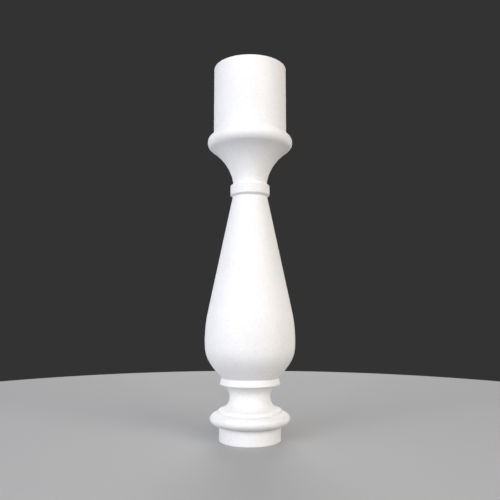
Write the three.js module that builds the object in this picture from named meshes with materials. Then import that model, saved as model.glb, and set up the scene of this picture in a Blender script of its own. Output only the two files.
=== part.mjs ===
// A turned stone baluster in one piece, in millimetres, standing on the XY plane with its axis along +Z.
// The origin is the centre of the bed that it stands on.
// One outline is traced from the centre of the bed to the centre of the top and turned once round the axis.
// From the bottom up it passes a foot drum, a base torus, a fillet, a scotia, a sloped band, a vase, a collar,
// a bell, a top torus and a top drum.

import * as THREE from "three";

// Foot drum
const FOOT_RADIUS = 56.2;
const FOOT_HEIGHT = 27.5;

// Base torus, a flattened round that springs from the edge of the foot
const BASE_TORUS_RADIUS = 73.1;
const BASE_TORUS_HEIGHT = 23;

// Fillet, with its upper arris taken off
const FILLET_RADIUS = 58.3;
const FILLET_HEIGHT = 5.1;
const FILLET_CHAMFER = 2;

// Scotia: two hollow curves that meet plumb at the throat
const THROAT_RADIUS = 37.2;
const SCOTIA_LOWER_HEIGHT = 22.8;
const SCOTIA_UPPER_HEIGHT = 21.8;
const SCOTIA_LOWER_LIP_ANGLE = 14.5;
const SCOTIA_UPPER_LIP_ANGLE = 23;

// Sloped band under the vase
const BAND_LOWER_RADIUS = 55.5;
const BAND_UPPER_RADIUS = 52.9;
const BAND_HEIGHT = 11.9;

// Vase: a swell up to the widest circle, a shoulder above it and a straight taper to the collar
const VASE_RADIUS = 83.3;
const SWELL_HEIGHT = 67.8;
const SWELL_FOOT_ANGLE = 48;
const SHOULDER_CURVE_RADIUS = 259;
const TAPER_HEIGHT = 267.7;
const TAPER_TOP_RADIUS = 32.8;

// Collar, chamfered above and below
const COLLAR_RADIUS = 37.1;
const COLLAR_HEIGHT = 24.7;
const COLLAR_CHAMFER_HEIGHT = 3.5;

// Bell, from the neck to the widest circle of the top torus
const NECK_RADIUS = 32.1;
const BELL_HEIGHT = 80.4;

// Top torus: the bell runs into it at an angle below its widest circle
const TOP_TORUS_RADIUS = 80.9;
const TOP_TORUS_DEPTH = 16.1;
const TOP_TORUS_CROWN_HEIGHT = 15;
const BELL_MEETING_ANGLE = 55;

// Top drum
const TOP_DRUM_RADIUS = 69.4;
const TOP_DRUM_HEIGHT = 132.3;

// How strongly a free curve leaves each of its ends, as a share of that curve's own height or reach
const SCOTIA_LOWER_LIP_PULL = 0.68;
const SCOTIA_LOWER_THROAT_PULL = 0.53;
const SCOTIA_UPPER_THROAT_PULL = 0.46;
const SCOTIA_UPPER_LIP_PULL = 0.64;
const SWELL_FOOT_PULL = 0.61;
const SWELL_TOP_PULL = 0.4;
const BELL_NECK_PULL = 0.21;
const BELL_TORUS_PULL = 0.58;

// Facets: sides round the axis, and how far a facet may stand off a true curve of the outline
const SIDES = 64;
const FACET_TOLERANCE = 0.15;

// Finish
const STONE_COLOUR = 0xf1eeea;
const STONE_ROUGHNESS = 0.6;

const radians = THREE.MathUtils.degToRad;

// A point of the outline: x is the distance from the axis and y is the height.
function point(radius, height) {
  return new THREE.Vector2(radius, height);
}

// A unit direction, its angle measured up from level, pointing away from the axis.
function direction(angle) {
  return point(Math.cos(angle), Math.sin(angle));
}

function moved(start, heading, distance) {
  return start.clone().addScaledVector(heading, distance);
}

// The points of a curve after its first, close enough together for the facet tolerance.
// A facet of length a that turns through b stands off the curve by about a times b over eight.
function sampled(curve) {
  const turn = curve.getTangent(0).angleTo(curve.getTangent(1));
  const facets = Math.ceil(Math.sqrt((curve.getLength() * turn) / (8 * FACET_TOLERANCE)));
  return curve.getPoints(Math.max(1, facets)).slice(1);
}

// A free curve that leaves and arrives along the directions given, each as strongly as its pull in millimetres.
function freeCurve(start, leaving, leavingPull, end, arriving, arrivingPull) {
  const first = moved(start, leaving, leavingPull);
  const second = moved(end, arriving, -arrivingPull);
  return new THREE.CubicBezierCurve(start, first, second, end);
}

// Part of an ellipse, anticlockwise between two angles from its outermost point.
function round(centre, halfWidth, halfHeight, startAngle, endAngle) {
  return new THREE.EllipseCurve(centre.x, centre.y, halfWidth, halfHeight, startAngle, endAngle);
}

// The angle at which a round of this centre and half width is at a given distance from the axis.
function angleAtRadius(centre, halfWidth, radius) {
  return Math.acos((radius - centre.x) / halfWidth);
}

const plumb = direction(radians(90));

function footDrum() {
  return [point(0, 0), point(FOOT_RADIUS, 0)];
}

function baseTorus(bottom) {
  const centre = point(FOOT_RADIUS, bottom + BASE_TORUS_HEIGHT / 2);
  const halfWidth = BASE_TORUS_RADIUS - FOOT_RADIUS;
  const end = angleAtRadius(centre, halfWidth, FILLET_RADIUS);
  const curve = round(centre, halfWidth, BASE_TORUS_HEIGHT / 2, radians(-90), end);
  return [point(FOOT_RADIUS, bottom), ...sampled(curve)];
}

function fillet(bottom) {
  return [
    point(FILLET_RADIUS, bottom + FILLET_HEIGHT - FILLET_CHAMFER),
    point(FILLET_RADIUS - FILLET_CHAMFER, bottom + FILLET_HEIGHT),
  ];
}

function scotia(bottom) {
  const lowerLip = point(FILLET_RADIUS - FILLET_CHAMFER, bottom);
  const throat = point(THROAT_RADIUS, bottom + SCOTIA_LOWER_HEIGHT);
  const upperLip = point(BAND_LOWER_RADIUS, throat.y + SCOTIA_UPPER_HEIGHT);
  const lower = freeCurve(
    lowerLip,
    direction(radians(180 - SCOTIA_LOWER_LIP_ANGLE)),
    SCOTIA_LOWER_LIP_PULL * (lowerLip.x - throat.x),
    throat,
    plumb,
    SCOTIA_LOWER_THROAT_PULL * SCOTIA_LOWER_HEIGHT,
  );
  const upper = freeCurve(
    throat,
    plumb,
    SCOTIA_UPPER_THROAT_PULL * SCOTIA_UPPER_HEIGHT,
    upperLip,
    direction(radians(SCOTIA_UPPER_LIP_ANGLE)),
    SCOTIA_UPPER_LIP_PULL * (upperLip.x - throat.x),
  );
  return [...sampled(lower), ...sampled(upper)];
}

function slopedBand(bottom) {
  return [point(BAND_UPPER_RADIUS, bottom + BAND_HEIGHT)];
}

function vase(bottom) {
  const widest = point(VASE_RADIUS, bottom + SWELL_HEIGHT);
  const swell = freeCurve(
    point(BAND_UPPER_RADIUS, bottom),
    direction(radians(SWELL_FOOT_ANGLE)),
    SWELL_FOOT_PULL * SWELL_HEIGHT,
    widest,
    plumb,
    SWELL_TOP_PULL * SWELL_HEIGHT,
  );
  // The shoulder is an arc, plumb at the widest circle, that ends where a straight line from the top touches it.
  const centre = point(VASE_RADIUS - SHOULDER_CURVE_RADIUS, widest.y);
  const top = point(TAPER_TOP_RADIUS, widest.y + TAPER_HEIGHT);
  const away = top.clone().sub(centre);
  const touching = away.angle() - Math.acos(SHOULDER_CURVE_RADIUS / away.length());
  const shoulder = round(centre, SHOULDER_CURVE_RADIUS, SHOULDER_CURVE_RADIUS, 0, touching);
  return [...sampled(swell), ...sampled(shoulder), top];
}

function collar(bottom) {
  return [
    point(COLLAR_RADIUS, bottom + COLLAR_CHAMFER_HEIGHT),
    point(COLLAR_RADIUS, bottom + COLLAR_HEIGHT - COLLAR_CHAMFER_HEIGHT),
    point(NECK_RADIUS, bottom + COLLAR_HEIGHT),
  ];
}

function bellAndTopTorus(bottom) {
  const centre = point(TOP_TORUS_RADIUS - TOP_TORUS_DEPTH, bottom + BELL_HEIGHT);
  const meeting = moved(centre, direction(radians(-BELL_MEETING_ANGLE)), TOP_TORUS_DEPTH);
  const bellHeight = meeting.y - bottom;
  const bell = freeCurve(
    point(NECK_RADIUS, bottom),
    plumb,
    BELL_NECK_PULL * bellHeight,
    meeting,
    direction(radians(90 - BELL_MEETING_ANGLE)),
    BELL_TORUS_PULL * bellHeight,
  );
  const under = round(centre, TOP_TORUS_DEPTH, TOP_TORUS_DEPTH, radians(-BELL_MEETING_ANGLE), 0);
  const end = angleAtRadius(centre, TOP_TORUS_DEPTH, TOP_DRUM_RADIUS);
  const crown = round(centre, TOP_TORUS_DEPTH, TOP_TORUS_CROWN_HEIGHT, 0, end);
  return [...sampled(bell), ...sampled(under), ...sampled(crown)];
}

function topDrum(bottom) {
  const top = bottom + TOP_DRUM_HEIGHT;
  return [point(TOP_DRUM_RADIUS, top), point(0, top)];
}

function balusterOutline() {
  const footTop = FOOT_HEIGHT;
  const baseTorusTop = footTop + BASE_TORUS_HEIGHT;
  const filletTop = baseTorusTop + FILLET_HEIGHT;
  const scotiaTop = filletTop + SCOTIA_LOWER_HEIGHT + SCOTIA_UPPER_HEIGHT;
  const bandTop = scotiaTop + BAND_HEIGHT;
  const vaseTop = bandTop + SWELL_HEIGHT + TAPER_HEIGHT;
  const collarTop = vaseTop + COLLAR_HEIGHT;
  const topTorusCrown = collarTop + BELL_HEIGHT + TOP_TORUS_CROWN_HEIGHT;
  return [
    ...footDrum(),
    ...baseTorus(footTop),
    ...fillet(baseTorusTop),
    ...scotia(filletTop),
    ...slopedBand(scotiaTop),
    ...vase(bandTop),
    ...collar(vaseTop),
    ...bellAndTopTorus(collarTop),
    ...topDrum(topTorusCrown),
  ];
}

// The lathe turns its outline round Y, so the solid is stood up to have its axis along Z.
function turned(outline) {
  return new THREE.LatheGeometry(outline, SIDES).rotateX(radians(90));
}

const stone = new THREE.MeshStandardMaterial({
  color: STONE_COLOUR,
  roughness: STONE_ROUGHNESS,
  metalness: 0,
});

const baluster = new THREE.Mesh(turned(balusterOutline()), stone);
baluster.name = "baluster";

const part = new THREE.Group();
part.add(baluster);

export default part;
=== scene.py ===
"""A turned white stone baluster that stands on a pale floor under soft studio light.

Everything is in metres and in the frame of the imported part: the baluster stands on z = 0, its axis along z.
Its mouldings are cut one after another along a single outline, from the foot bed to the top bed, and the
outline is then turned once round the axis.
"""

import logging
import math
from dataclasses import dataclass, field
from enum import Enum
from typing import Any, Protocol

import bmesh
import bpy
from mathutils import Matrix, Vector
from mathutils.geometry import interpolate_bezier


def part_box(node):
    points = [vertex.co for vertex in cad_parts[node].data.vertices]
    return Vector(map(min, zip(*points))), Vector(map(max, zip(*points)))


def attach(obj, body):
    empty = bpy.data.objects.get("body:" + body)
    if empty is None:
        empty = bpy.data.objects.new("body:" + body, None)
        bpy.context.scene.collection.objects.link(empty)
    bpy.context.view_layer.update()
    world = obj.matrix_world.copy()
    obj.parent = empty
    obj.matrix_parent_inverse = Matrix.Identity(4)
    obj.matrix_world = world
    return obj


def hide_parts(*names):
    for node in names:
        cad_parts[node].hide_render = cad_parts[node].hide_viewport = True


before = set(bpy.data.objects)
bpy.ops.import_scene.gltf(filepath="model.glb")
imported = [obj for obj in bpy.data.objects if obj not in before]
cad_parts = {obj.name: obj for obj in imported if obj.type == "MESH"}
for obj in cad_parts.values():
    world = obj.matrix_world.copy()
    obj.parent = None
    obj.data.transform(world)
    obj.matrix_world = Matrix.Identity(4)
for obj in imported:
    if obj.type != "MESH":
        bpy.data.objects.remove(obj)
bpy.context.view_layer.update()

log = logging.getLogger("baluster")

NODE = "baluster"

WEAR = "wear"
SHELTER = "shelter"

Colour = tuple[float, float, float]


class Arris(Enum):
    """The kind of corner where two stretches of the outline meet, and how far back it is rounded.

    One stretch may run on into the next with no corner. An inner corner is open to the rain, which keeps it
    clean, or under an overhang, where dust and painted shade are laid. An outer one is eased and, round a
    bed, rubbed down more.
    """

    RUNS_ON = 0.0
    OPEN = 0.0003
    UNDER = 0.0004
    EASED = 0.0006
    RUBBED = 0.001


def across(radius: float, height: float) -> Vector:
    """A point of the outline, at a distance from the axis and a height."""
    return Vector((radius, 0.0, height))


def heading(angle: float) -> Vector:
    """A unit direction in the plane of the outline, its angle in degrees, up from level and off the axis."""
    turn = math.radians(angle)
    return across(math.cos(turn), math.sin(turn))


PLUMB = heading(90)


class Outline:
    """The outline of a turned work, grown from the axis in the plane y = 0 and then turned round the axis.

    Each stretch starts at the tip, where the last one ended. Two numbers ride along on every point for the
    finish: how worn it is, near an outer arris, and how sheltered it is, in a corner under an overhang, where
    the finish lays dust and painted shade.

    The steps are the longest edges along a flat side, a bed and a curve. The lead is the short edge beside a
    corner, and its share is the most of a stretch that it takes. A circle is a round that isn't squashed. The
    reaches are how far from a corner the wear and the shelter have fallen to about a third.
    """

    FLAT_STEP = 0.005
    BED_STEP = 0.02
    CURVE_STEP = 0.0022
    LEAST_CURVE_POINTS = 8
    LEAST_ROUND_STEPS = 6
    LEAD = 0.002
    LEAD_SHARE = 1 / 3
    CIRCLE = 1.0
    ARRIS_SEGMENTS = 3
    WEAR_REACH = 0.001
    SHELTER_REACH = 0.0035
    WELD = 1e-6

    def __init__(self) -> None:
        """Starts the outline with one point on the axis, at the centre of the bed."""
        self.mesh = bmesh.new()
        self.wear = self.mesh.verts.layers.float.new(WEAR)
        self.shelter = self.mesh.verts.layers.float.new(SHELTER)
        self.tip = bmesh.ops.create_vert(self.mesh, co=Vector())["vert"][0]
        self.corners: dict[Arris, list[bmesh.types.BMVert]] = {arris: [] for arris in Arris}

    @property
    def radius(self) -> float:
        """How far the tip is from the axis."""
        return self.tip.co.x

    @property
    def height(self) -> float:
        """How high the tip is."""
        return self.tip.co.z

    def step(self, point: Vector) -> None:
        """Grows the outline by one edge and moves the tip to its end.

        Args:
            point: where the edge ends.
        """
        start = self.tip
        self.tip = bmesh.ops.extrude_vert_indiv(self.mesh, verts=[start])["verts"][0]
        bmesh.ops.translate(self.mesh, verts=[self.tip], vec=point - start.co)

    def end(self, arris: Arris) -> None:
        """Says what is done to the corner that the tip has reached."""
        self.corners[arris].append(self.tip)

    def straight(self, end: Vector, arris: Arris, longest: float = FLAT_STEP) -> None:
        """Grows a straight stretch, with a short edge beside each corner to keep the shading flat up to it.

        Args:
            end: where the stretch ends.
            arris: what is done to the corner there.
            longest: the longest edge along the stretch.
        """
        start = self.tip.co.copy()
        length = (end - start).length
        lead = min(self.LEAD, length * self.LEAD_SHARE)
        middle = length - 2 * lead
        bays = max(1, math.ceil(middle / longest))
        stops = [lead + middle * bay / bays for bay in range(bays + 1)]
        for stop in [*stops, length]:
            self.step(start.lerp(end, stop / length))
        self.end(arris)

    def free(self, end: Vector, leaving: Vector, arriving: Vector, arris: Arris) -> None:
        """Grows a free curve.

        Args:
            end: where the curve ends.
            leaving: the direction in which it leaves the tip, as long as its pull.
            arriving: the direction in which it arrives, as long as its pull.
            arris: what is done to the corner at its end.
        """
        start = self.tip.co.copy()
        points = max(self.LEAST_CURVE_POINTS, math.ceil((end - start).length / self.CURVE_STEP))
        for point in interpolate_bezier(start, start + leaving, end - arriving, end, points)[1:]:
            self.step(point)
        self.end(arris)

    def round(self, centre: Vector, squash: float, turn: float, arris: Arris) -> None:
        """Turns the tip about a centre, anticlockwise along a circle or a level or upright ellipse.

        Args:
            centre: the centre of the round.
            squash: its half height as a share of its half width.
            turn: how far the tip turns, in radians.
            arris: what is done to the corner at its end.
        """
        space = Matrix.Diagonal((1.0, 1.0, 1 / squash, 1.0))
        reach = (space @ (self.tip.co - centre)).length
        steps = max(self.LEAST_ROUND_STEPS, math.ceil(reach * turn / self.CURVE_STEP))
        grown = bmesh.ops.spin(
            self.mesh,
            geom=[self.tip],
            cent=space @ centre,
            axis=(0.0, -1.0, 0.0),
            angle=turn,
            steps=steps,
            space=space,
        )
        self.tip = grown["geom_last"][0]
        self.end(arris)

    def mark(self, layer: bmesh.types.BMLayerItem, arrises: tuple[Arris, ...], reach: float) -> None:
        """Writes on every point how near it is to the nearest corner of some kinds.

        Args:
            layer: the layer of numbers to write.
            arrises: the kinds of corner.
            reach: the distance at which the number has fallen to about a third.
        """
        corners = [corner.co.copy() for arris in arrises for corner in self.corners[arris]]
        for point in self.mesh.verts:
            nearest = min((point.co - corner).length for corner in corners)
            point[layer] = math.exp(-nearest / reach)

    def turned(self, name: str, sides: int) -> bpy.types.Object:
        """Rounds the corners, turns the outline once round the axis and makes the closed solid an object.

        Args:
            name: the name of the object.
            sides: how many sides the turned surface has.

        Returns:
            The object, at the origin and with smooth faces that point outwards.
        """
        self.mark(self.wear, (Arris.EASED, Arris.RUBBED), self.WEAR_REACH)
        # nearness to the corners under an overhang, where the finish lays dust and painted shade
        self.mark(self.shelter, (Arris.UNDER,), self.SHELTER_REACH)
        for arris in (Arris.OPEN, Arris.UNDER, Arris.EASED, Arris.RUBBED):
            bmesh.ops.bevel(
                self.mesh,
                geom=self.corners[arris],
                offset=arris.value,
                offset_type="OFFSET",
                segments=self.ARRIS_SEGMENTS,
                profile=0.5,
                affect="VERTICES",
                material=-1,
            )
        bmesh.ops.spin(
            self.mesh,
            geom=[*self.mesh.verts, *self.mesh.edges],
            cent=(0.0, 0.0, 0.0),
            axis=(0.0, 0.0, 1.0),
            angle=math.tau,
            steps=sides,
            use_merge=True,
        )
        bmesh.ops.remove_doubles(self.mesh, verts=self.mesh.verts, dist=self.WELD)
        bmesh.ops.recalc_face_normals(self.mesh, faces=self.mesh.faces)
        return finished(self.mesh, name, smooth=True)


def finished(shape: bmesh.types.BMesh, name: str, smooth: bool) -> bpy.types.Object:
    """Makes an object of a shape and puts it in the scene.

    Args:
        shape: the shape, which is used up.
        name: the name of the object.
        smooth: whether its faces are shaded smooth.

    Returns:
        The object, at the origin, with its place in its mesh.
    """
    for face in shape.faces:
        face.smooth = smooth
    mesh = bpy.data.meshes.new(name)
    shape.to_mesh(mesh)
    shape.free()
    thing = bpy.data.objects.new(name, mesh)
    bpy.context.scene.collection.objects.link(thing)
    return thing


class Moulding(Protocol):
    """A stretch of the baluster that is cut along the outline from where the one below it ended."""

    def cut(self, outline: Outline) -> None:
        """Grows the outline by this moulding."""


@dataclass(frozen=True)
class Foot:
    """The plain drum that the baluster stands on."""

    radius: float = 0.0562
    height: float = 0.0275

    def cut(self, outline: Outline) -> None:
        """Crosses the bed and goes up the side of the drum."""
        outline.straight(across(self.radius, 0.0), Arris.RUBBED, Outline.BED_STEP)
        outline.straight(across(self.radius, self.height), Arris.UNDER)


@dataclass(frozen=True)
class BaseTorus:
    """The flattened round on the foot, with the fillet that stands on it."""

    radius: float = 0.0731
    height: float = 0.023
    fillet_radius: float = 0.0583
    fillet_height: float = 0.0051
    fillet_chamfer: float = 0.002

    def cut(self, outline: Outline) -> None:
        """Goes round from the edge of the foot until it meets the fillet, and up the fillet.

        Args:
            outline: the outline to grow.
        """
        centre = across(outline.radius, outline.height + self.height / 2)
        half_width = self.radius - centre.x
        meeting = math.acos((self.fillet_radius - centre.x) / half_width)
        squash = self.height / (2 * half_width)
        fillet_top = centre.z + self.height / 2 + self.fillet_height
        outline.round(centre, squash, math.pi / 2 + meeting, Arris.OPEN)
        outline.straight(across(self.fillet_radius, fillet_top - self.fillet_chamfer), Arris.EASED)
        outline.straight(across(self.fillet_radius - self.fillet_chamfer, fillet_top), Arris.EASED)


@dataclass(frozen=True)
class Scotia:
    """The hollow over the fillet: two free curves that meet plumb at the throat, and the band above them."""

    throat_radius: float = 0.0372
    lower_height: float = 0.0228
    lower_lip_angle: float = 14.5
    lower_lip_pull: float = 0.68
    lower_throat_pull: float = 0.53
    upper_height: float = 0.0218
    upper_lip_angle: float = 23.0
    upper_lip_pull: float = 0.64
    upper_throat_pull: float = 0.46
    band_lower_radius: float = 0.0555
    band_upper_radius: float = 0.0529
    band_height: float = 0.0119

    def cut(self, outline: Outline) -> None:
        """Goes in to the throat, out to the band and up its slope.

        Args:
            outline: the outline to grow.
        """
        throat = across(self.throat_radius, outline.height + self.lower_height)
        lip = across(self.band_lower_radius, throat.z + self.upper_height)
        outline.free(
            throat,
            heading(180 - self.lower_lip_angle) * self.lower_lip_pull * (outline.radius - throat.x),
            PLUMB * self.lower_throat_pull * self.lower_height,
            Arris.RUNS_ON,
        )
        outline.free(
            lip,
            PLUMB * self.upper_throat_pull * self.upper_height,
            heading(self.upper_lip_angle) * self.upper_lip_pull * (lip.x - throat.x),
            Arris.EASED,
        )
        outline.straight(across(self.band_upper_radius, lip.z + self.band_height), Arris.UNDER)


@dataclass(frozen=True)
class Vase:
    """The vase: a swell up to its widest circle, a shoulder above it and a straight taper."""

    radius: float
    swell_height: float = 0.0678
    swell_foot_angle: float = 48.0
    swell_foot_pull: float = 0.61
    swell_top_pull: float = 0.4
    shoulder_curve_radius: float = 0.259
    taper_height: float = 0.2677
    top_radius: float = 0.0328

    def cut(self, outline: Outline) -> None:
        """Swells to the widest circle, rounds the shoulder and goes straight on to the top.

        The shoulder's arc ends where a straight line to the top touches it.

        Args:
            outline: the outline to grow.
        """
        widest = across(self.radius, outline.height + self.swell_height)
        outline.free(
            widest,
            heading(self.swell_foot_angle) * self.swell_foot_pull * self.swell_height,
            PLUMB * self.swell_top_pull * self.swell_height,
            Arris.RUNS_ON,
        )
        centre = across(self.radius - self.shoulder_curve_radius, widest.z)
        top = across(self.top_radius, widest.z + self.taper_height)
        away = top - centre
        touching = math.atan2(away.z, away.x) - math.acos(self.shoulder_curve_radius / away.length)
        outline.round(centre, Outline.CIRCLE, touching, Arris.RUNS_ON)
        outline.straight(top, Arris.UNDER)


@dataclass(frozen=True)
class Collar:
    """The ring round the neck, chamfered above and below."""

    radius: float = 0.0371
    height: float = 0.0247
    chamfer_height: float = 0.0035
    neck_radius: float = 0.0321

    def cut(self, outline: Outline) -> None:
        """Goes out to the collar, up its side and back in to the neck.

        Args:
            outline: the outline to grow.
        """
        bottom = outline.height
        top = bottom + self.height
        outline.straight(across(self.radius, bottom + self.chamfer_height), Arris.EASED)
        outline.straight(across(self.radius, top - self.chamfer_height), Arris.EASED)
        outline.straight(across(self.neck_radius, top), Arris.OPEN)


@dataclass(frozen=True)
class Bell:
    """The bell over the neck and the torus that it runs into, up to the side of the top drum."""

    height: float = 0.0804
    neck_pull: float = 0.21
    torus_pull: float = 0.58
    torus_radius: float = 0.0809
    torus_depth: float = 0.0161
    torus_crown_height: float = 0.015
    meeting_angle: float = 55.0
    drum_radius: float = 0.0694

    def cut(self, outline: Outline) -> None:
        """Flares from the neck into the torus, and goes round it until it meets the drum.

        Args:
            outline: the outline to grow.
        """
        centre = across(self.torus_radius - self.torus_depth, outline.height + self.height)
        meeting = centre + heading(-self.meeting_angle) * self.torus_depth
        flare = meeting.z - outline.height
        outline.free(
            meeting,
            PLUMB * self.neck_pull * flare,
            heading(90 - self.meeting_angle) * self.torus_pull * flare,
            Arris.RUNS_ON,
        )
        outline.round(centre, Outline.CIRCLE, math.radians(self.meeting_angle), Arris.RUNS_ON)
        end = math.acos((self.drum_radius - centre.x) / self.torus_depth)
        outline.round(centre, self.torus_crown_height / self.torus_depth, end, Arris.OPEN)


@dataclass(frozen=True)
class TopDrum:
    """The plain drum over the torus, cut off square at the top bed."""

    top: float

    def cut(self, outline: Outline) -> None:
        """Goes up the side of the drum and back across the top bed to the axis."""
        outline.straight(across(outline.radius, self.top), Arris.RUBBED)
        outline.straight(across(0.0, self.top), Arris.RUNS_ON, Outline.BED_STEP)


def opaque(colour: Colour) -> tuple[float, float, float, float]:
    """A colour as a socket takes it, with nothing see-through."""
    return (*colour, 1.0)


@dataclass(frozen=True)
class Tint:
    """A tint that lies where a pattern is high.

    It has a colour and a strength. The pattern's value says where it starts and where it is full.
    """

    colour: Colour
    strength: float
    start: float
    full: float


@dataclass(frozen=True)
class Noise:
    """A soft noise between 0 and 1, which varies about its middle.

    Its size is about how far it is from one blotch to the next, in metres. The detail says how many finer
    layers it has, and the roughness how strong they are.
    """

    MIDDLE = 0.5

    size: float
    detail: float
    roughness: float = 0.5


class Value:
    """An output of a material's nodes. An expression on values adds the Math nodes that work it out."""

    def __init__(self, graph: "Graph", socket: bpy.types.NodeSocket | None) -> None:
        """Wraps one output socket of a graph, or none after a node that ends it."""
        self.graph = graph
        self.socket = socket

    def other_output(self, name: str) -> "Value":
        """Another output of the same node, by its identifier."""
        return self.graph.output(self.socket.node, name)

    def maths(self, operation: str, first: "Value | float", second: "Value | float") -> "Value":
        """Adds one Math node.

        Args:
            operation: what the node does.
            first: its first number.
            second: its second number.

        Returns:
            The node's result.
        """
        numbers = {"Value": first, "Value_001": second}
        return self.graph.node("ShaderNodeMath", {"operation": operation}, numbers, "Value")

    def __add__(self, other: "Value | float") -> "Value":
        """This value plus another."""
        return self.maths("ADD", self, other)

    def __sub__(self, other: "Value | float") -> "Value":
        """This value less another."""
        return self.maths("SUBTRACT", self, other)

    def __rsub__(self, other: float) -> "Value":
        """A number less this value."""
        return self.maths("SUBTRACT", other, self)

    def __mul__(self, other: "Value | float") -> "Value":
        """This value times another."""
        return self.maths("MULTIPLY", self, other)

    __radd__ = __add__
    __rmul__ = __mul__


class Graph:
    """The node tree of one material."""

    def __init__(self, name: str) -> None:
        """Starts an empty node tree in a new material.

        Args:
            name: the name of the material.
        """
        self.material = bpy.data.materials.new(name)
        self.material.use_nodes = True
        self.tree = self.material.node_tree
        self.tree.nodes.clear()

    def node(self, kind: str, settings: dict[str, Any], inputs: dict[str, Any], output: str) -> Value:
        """Adds a node.

        Args:
            kind: the node's type.
            settings: its properties, which are set before its sockets.
            inputs: a value or a link for each socket, by the socket's identifier.
            output: the identifier of the output that is wanted, or empty where the node ends the graph.

        Returns:
            That output.
        """
        node = self.tree.nodes.new(kind)
        for name, setting in settings.items():
            setattr(node, name, setting)
        sockets = {socket.identifier: socket for socket in node.inputs}
        for name, given in inputs.items():
            if isinstance(given, Value):
                self.tree.links.new(given.socket, sockets[name])
            else:
                sockets[name].default_value = given
        return self.output(node, output)

    def output(self, node: bpy.types.Node, name: str) -> Value:
        """One output of a node, by its identifier."""
        return Value(self, next((socket for socket in node.outputs if socket.identifier == name), None))

    def place(self) -> Value:
        """Where a point is on the object, in metres."""
        return self.node("ShaderNodeTexCoord", {}, {}, "Object")

    def attribute(self, name: str) -> Value:
        """A number that the mesh carries on its points."""
        return self.node("ShaderNodeAttribute", {"attribute_name": name}, {}, "Fac")

    def noise(self, place: Value, noise: Noise) -> Value:
        """A soft noise, read at a place."""
        grain = {"Scale": 1 / noise.size, "Detail": noise.detail, "Roughness": noise.roughness}
        return self.node("ShaderNodeTexNoise", {}, {"Vector": place, **grain}, "Fac")

    def between(self, value: Value, low: float, high: float) -> Value:
        """A mask that rises smoothly from 0 at a low value to 1 at a high one."""
        inputs = {"Value": value, "From Min": low, "From Max": high}
        return self.node("ShaderNodeMapRange", {"interpolation_type": "SMOOTHSTEP"}, inputs, "Result")

    def mask(self, pattern: Value, tint: Tint) -> Value:
        """Where a tint lies on a pattern."""
        return self.between(pattern, tint.start, tint.full)

    def tinted(self, colour: Value | Colour, mask: Value, tint: Tint) -> Value:
        """Lays a tint over a colour.

        Args:
            colour: the colour under it.
            mask: where the tint lies, from 0 to 1.
            tint: the tint.

        Returns:
            The colour that shows.
        """
        under = colour if isinstance(colour, Value) else opaque(colour)
        inputs = {"Factor_Float": mask * tint.strength, "A_Color": under, "B_Color": opaque(tint.colour)}
        return self.node("ShaderNodeMix", {"data_type": "RGBA"}, inputs, "Result_Color")

    def stretched(self, place: Value, scale: tuple[float, float, float]) -> Value:
        """A place that runs faster or slower along each axis, so that what is read there is drawn out."""
        return self.node("ShaderNodeMapping", {}, {"Vector": place, "Scale": scale}, "Vector")

    def scattered(self, place: Value, spacing: float) -> tuple[Value, Value]:
        """Many scattered points.

        Args:
            place: where they are read.
            spacing: about how far they are apart, in metres.

        Returns:
            How far it is to the nearest one, as a share of their spacing, and a number between 0 and 1 that
            each one has for itself.
        """
        inputs = {"Vector": place, "Scale": 1 / spacing}
        away = self.node("ShaderNodeTexVoronoi", {}, inputs, "Distance")
        own = self.node("ShaderNodeSeparateColor", {}, {"Color": away.other_output("Color")}, "Red")
        return away, own

    def bumped(self, height: Value) -> Value:
        """A normal that follows a height in metres."""
        return self.node("ShaderNodeBump", {}, {"Height": height, "Distance": 1.0}, "Normal")

    def surfaced(self, inputs: dict[str, Any]) -> bpy.types.Material:
        """Adds the surface shader and ends the graph.

        Args:
            inputs: a value or a link for each of the shader's sockets that differs from its default.

        Returns:
            The finished material.
        """
        surface = self.node("ShaderNodeBsdfPrincipled", {}, inputs, "BSDF")
        self.node("ShaderNodeOutputMaterial", {}, {"Surface": surface}, "")
        return self.material


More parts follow.
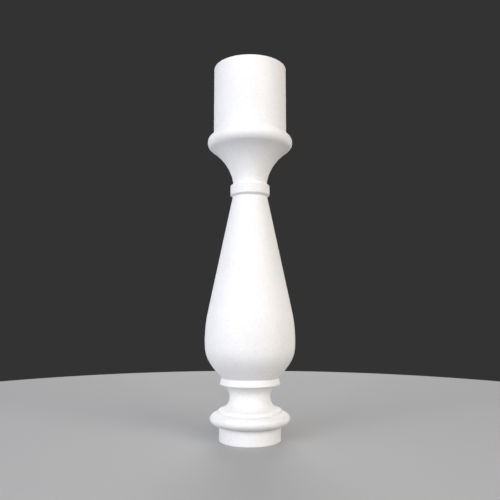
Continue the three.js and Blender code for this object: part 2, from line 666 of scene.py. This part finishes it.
@dataclass(frozen=True)
class WhiteStone:
    """Fine-grained white limestone, turned and rubbed smooth.

    Soft clouds and a closer mottle drift through a fine grit, in which small shell flecks lie, some paler and
    some darker than the stone. There are a few tiny pits. The outer arrises are rubbed a little paler and
    smoother, and a trace of dust, darkened further as painted shade, lies right in the corners under an
    overhang.

    Sizes, spacings, heights and depths are in metres.
    """

    body: Colour = (0.772, 0.766, 0.767)
    cloud: Tint = Tint((0.75, 0.743, 0.742), 1.0, 0.35, 0.68)
    cloud_noise: Noise = Noise(0.06, 3.0)
    mottle: Tint = Tint((0.724, 0.716, 0.713), 0.6, 0.48, 0.75)
    mottle_noise: Noise = Noise(0.011, 4.0, 0.6)
    grit: Tint = Tint((0.605, 0.592, 0.582), 0.6, 0.48, 0.72)
    grit_noise: Noise = Noise(0.0009, 3.0, 0.65)
    grit_depth: float = 0.00005

    pale_fleck: Tint = Tint((0.83, 0.826, 0.823), 0.8, 0.82, 0.88)
    dark_fleck: Tint = Tint((0.54, 0.522, 0.5), 0.7, 0.89, 0.93)
    fleck_spacing: float = 0.0024
    fleck_inside: float = 0.2
    fleck_outside: float = 0.42
    fleck_raggedness: float = 1.3
    fleck_height: float = 0.00003

    pit: Tint = Tint((0.44, 0.42, 0.395), 1.0, 0.0, 0.02)
    pit_spacing: float = 0.0055
    pit_reach: float = 0.11
    pit_raggedness: float = 0.13
    pit_depth: float = 0.0002

    # dust and painted shade: a darker tint right in the corners under an overhang
    dust_and_shade: Tint = Tint((0.53, 0.515, 0.5), 0.6, 0.6, 1.1)
    dust_and_shade_unevenness: float = 0.6
    worn: Tint = Tint((0.8, 0.796, 0.795), 0.6, 0.35, 1.0)
    wear_unevenness: float = 1.2

    turning_noise: Noise = Noise(0.0014, 2.0)
    turning_stretch: float = 16.0
    turning_depth: float = 0.000012
    rubbing_noise: Noise = Noise(0.035, 1.0)
    rubbing_depth: float = 0.0002

    roughness: float = 0.6
    grit_roughness: float = 0.12
    fleck_roughness: float = -0.12
    dust_roughness: float = 0.15
    worn_roughness: float = -0.08

    def flecks(self, graph: Graph, place: Value, ragged: Value) -> tuple[Value, Value]:
        """Where the shell flecks are.

        Args:
            graph: the material's nodes.
            place: where they are read.
            ragged: a fine pattern about 0 that frays their edges.

        Returns:
            The pale flecks and the dark ones.
        """
        away, kind = graph.scattered(place, self.fleck_spacing)
        frayed = away + ragged * self.fleck_raggedness
        inside = 1.0 - graph.between(frayed, self.fleck_inside, self.fleck_outside)
        return inside * graph.mask(kind, self.pale_fleck), inside * graph.mask(1.0 - kind, self.dark_fleck)

    def pits(self, graph: Graph, place: Value, ragged: Value) -> Value:
        """Where the pits are: most are too small to see, and few reach the full size.

        Args:
            graph: the material's nodes.
            place: where they are read.
            ragged: a fine pattern about 0 that frays their edges.

        Returns:
            The pits.
        """
        away, kind = graph.scattered(place, self.pit_spacing)
        reach = kind * kind * kind * self.pit_reach
        return graph.mask(reach + ragged * self.pit_raggedness - away, self.pit)

    def marks(self, graph: Graph, place: Value) -> Value:
        """The height of the marks that the turning and the rubbing left.

        Args:
            graph: the material's nodes.
            place: where they are read.

        Returns:
            The height in metres.
        """
        level = 1 / self.turning_stretch
        turning = graph.noise(graph.stretched(place, (level, level, 1.0)), self.turning_noise)
        rubbing = graph.noise(place, self.rubbing_noise)
        return turning * self.turning_depth + rubbing * self.rubbing_depth

    def material(self) -> bpy.types.Material:
        """Makes the finish.

        Returns:
            The material.
        """
        graph = Graph("white stone")
        place = graph.place()
        cloudy = graph.noise(place, self.cloud_noise)
        mottled = graph.noise(place, self.mottle_noise)
        gritty = graph.noise(place, self.grit_noise)
        ragged = gritty - Noise.MIDDLE
        uneven = mottled - Noise.MIDDLE
        pale, dark = self.flecks(graph, place, ragged)
        pitted = self.pits(graph, place, ragged)
        # where dust and painted shade darken the corners under an overhang
        dust_and_shade_mask = graph.mask(graph.attribute(SHELTER) + uneven * self.dust_and_shade_unevenness, self.dust_and_shade)
        worn = graph.mask(graph.attribute(WEAR) + uneven * self.wear_unevenness, self.worn)

        colour = graph.tinted(self.body, graph.mask(cloudy, self.cloud), self.cloud)
        colour = graph.tinted(colour, graph.mask(mottled, self.mottle), self.mottle)
        colour = graph.tinted(colour, graph.mask(gritty, self.grit), self.grit)
        colour = graph.tinted(colour, pale, self.pale_fleck)
        colour = graph.tinted(colour, dark, self.dark_fleck)
        colour = graph.tinted(colour, pitted, self.pit)
        # lays the dust and the painted shade in the corners under an overhang
        colour = graph.tinted(colour, dust_and_shade_mask, self.dust_and_shade)
        colour = graph.tinted(colour, worn, self.worn)

        roughness = self.roughness + ragged * self.grit_roughness + pale * self.fleck_roughness
        roughness = roughness + dust_and_shade_mask * self.dust_roughness + worn * self.worn_roughness
        height = self.marks(graph, place) + gritty * self.grit_depth
        height = height + pale * self.fleck_height - pitted * self.pit_depth
        return graph.surfaced({"Base Color": colour, "Roughness": roughness, "Normal": graph.bumped(height)})


@dataclass(frozen=True)
class PaleFloor:
    """The plain pale floor of the studio, a matt board."""

    radius: float = 1.2
    sides: int = 128
    colour: Colour = (0.37, 0.37, 0.374)
    roughness: float = 0.9

    def build(self) -> bpy.types.Object:
        """Makes the floor as one flat disc.

        Returns:
            The floor.
        """
        shape = bmesh.new()
        bmesh.ops.create_circle(shape, cap_ends=True, segments=self.sides, radius=self.radius)
        floor = finished(shape, "floor", smooth=False)
        board = Graph("pale floor").surfaced({"Base Color": opaque(self.colour), "Roughness": self.roughness})
        floor.data.materials.append(board)
        return floor


@dataclass(frozen=True)
class Softbox:
    """A soft light that faces the middle of the baluster and is itself out of sight.

    Its azimuth and elevation are in degrees: round to the right from the camera's side, and up from level.
    Its power is in watts, and its distance, width and height are in metres.
    """

    name: str
    azimuth: float
    elevation: float
    power: float
    colour: Colour = (1.0, 1.0, 1.0)
    distance: float = 4.0
    width: float = 2.4
    height: float = 2.1

    def build(self, target: Vector) -> bpy.types.Object:
        """Makes the light.

        Args:
            target: the point that it faces.

        Returns:
            The light.
        """
        lamp = bpy.data.lights.new(self.name, "AREA")
        lamp.shape = "RECTANGLE"
        lamp.size = self.width
        lamp.size_y = self.height
        lamp.energy = self.power
        lamp.color = self.colour
        light = bpy.data.objects.new(self.name, lamp)
        round_axis = math.radians(self.azimuth)
        up = math.radians(self.elevation)
        level = Vector((math.sin(round_axis), -math.cos(round_axis), 0.0))
        away = level * math.cos(up) + Vector((0.0, 0.0, math.sin(up)))
        light.location = target + away * self.distance
        light.rotation_euler = away.to_track_quat("Z", "Y").to_euler()
        light.visible_camera = False
        bpy.context.scene.collection.objects.link(light)
        return light


@dataclass(frozen=True)
class Studio:
    """The floor, the dark surround and the soft lights.

    Each light has its name, azimuth, elevation, power and colour.
    """

    surround: Colour = (0.0331, 0.0331, 0.0331)
    floor: PaleFloor = PaleFloor()
    lights: tuple[Softbox, ...] = (
        Softbox("front light", 0.0, 24.0, 46.7, (1.0, 0.985, 0.978)),
        Softbox("left front light", -42.0, 24.0, 67.5, (0.924, 0.944, 1.0)),
        Softbox("low left front light", -42.0, 10.0, 29.5, (0.785, 0.845, 1.0)),
        Softbox("right front light", 42.0, 24.0, 92.3, (1.0, 0.962, 0.912)),
        Softbox("left light", -85.0, 5.0, 46.5, (0.905, 0.92, 1.0)),
        Softbox("right light", 85.0, 5.0, 12.0, (1.0, 0.68, 0.38)),
        Softbox("left back light", -130.0, 5.0, 28.0, (0.95, 0.962, 1.0)),
        Softbox("right back light", 130.0, 5.0, 33.0, (1.0, 0.962, 0.925)),
        Softbox("back light", 180.0, 24.0, 85.0),
        Softbox("overhead light", 0.0, 75.0, 27.2),
        Softbox("ground light", 0.0, -3.0, 4.2, distance=2.0, width=2.0, height=0.3),
    )

    def build(self, target: Vector) -> None:
        """Makes the studio.

        Args:
            target: the point that the lights face.
        """
        world = bpy.data.worlds.new("surround")
        world.use_nodes = True
        world.node_tree.nodes["Background"].inputs["Color"].default_value = opaque(self.surround)
        bpy.context.scene.world = world
        bpy.context.scene.view_settings.view_transform = "Standard"
        log.info("floor: %s", self.floor.build().name)
        for light in self.lights:
            log.info("light: %s", light.build(target).name)


@dataclass(frozen=True)
class Camera:
    """The camera, low in front of the baluster and tilted up to have the whole of it in the frame.

    Its tilt is in degrees, its lens and sensor are in millimetres, and its place is in metres.
    """

    distance: float = 1.031
    height: float = 0.2294
    tilt: float = 6.5
    lens: float = 39.67
    sensor: float = 36.0

    def build(self) -> bpy.types.Object:
        """Makes the camera and looks through it.

        Returns:
            The camera.
        """
        optics = bpy.data.cameras.new("camera")
        optics.lens = self.lens
        optics.sensor_width = self.sensor
        camera = bpy.data.objects.new("camera", optics)
        camera.location = (0.0, -self.distance, self.height)
        camera.rotation_euler = (math.radians(90 + self.tilt), 0.0, 0.0)
        bpy.context.scene.collection.objects.link(camera)
        bpy.context.scene.camera = camera
        return camera


@dataclass
class Baluster:
    """The baluster, one turned stone, with its mouldings from the foot up.

    Its radius, at the widest circle of the vase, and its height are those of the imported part.
    """

    radius: float
    height: float
    sides: int = 256
    foot: Foot = field(default_factory=Foot)
    torus: BaseTorus = field(default_factory=BaseTorus)
    scotia: Scotia = field(default_factory=Scotia)
    collar: Collar = field(default_factory=Collar)
    bell: Bell = field(default_factory=Bell)
    finish: WhiteStone = field(default_factory=WhiteStone)

    def mouldings(self) -> list[Moulding]:
        """Puts the mouldings in order.

        Returns:
            The mouldings, from the foot up.
        """
        vase = Vase(self.radius)
        drum = TopDrum(self.height)
        return [self.foot, self.torus, self.scotia, vase, self.collar, self.bell, drum]

    def build(self) -> bpy.types.Object:
        """Cuts every moulding along one outline and turns it.

        Returns:
            The stone.
        """
        outline = Outline()
        for moulding in self.mouldings():
            moulding.cut(outline)
            log.info("%s: up to %.4f m", type(moulding).__name__, outline.height)
        return outline.turned("turned_stone", self.sides)

    def dress(self, stone: bpy.types.Object) -> None:
        """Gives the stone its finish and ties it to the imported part.

        Args:
            stone: the turned stone.
        """
        stone.data.materials.append(self.finish.material())
        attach(stone, "root")
        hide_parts(NODE)


def main() -> None:
    """Builds the baluster, the studio and the camera in order."""
    logging.basicConfig(level=logging.INFO, format="%(name)s %(message)s")
    low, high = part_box(NODE)
    baluster = Baluster(radius=high.x, height=high.z)
    stone = baluster.build()
    baluster.dress(stone)
    log.info("%s: %d faces", stone.name, len(stone.data.polygons))
    Studio().build((low + high) / 2)
    log.info("camera: %s", Camera().build().name)


if __name__ == "__main__":
    main()
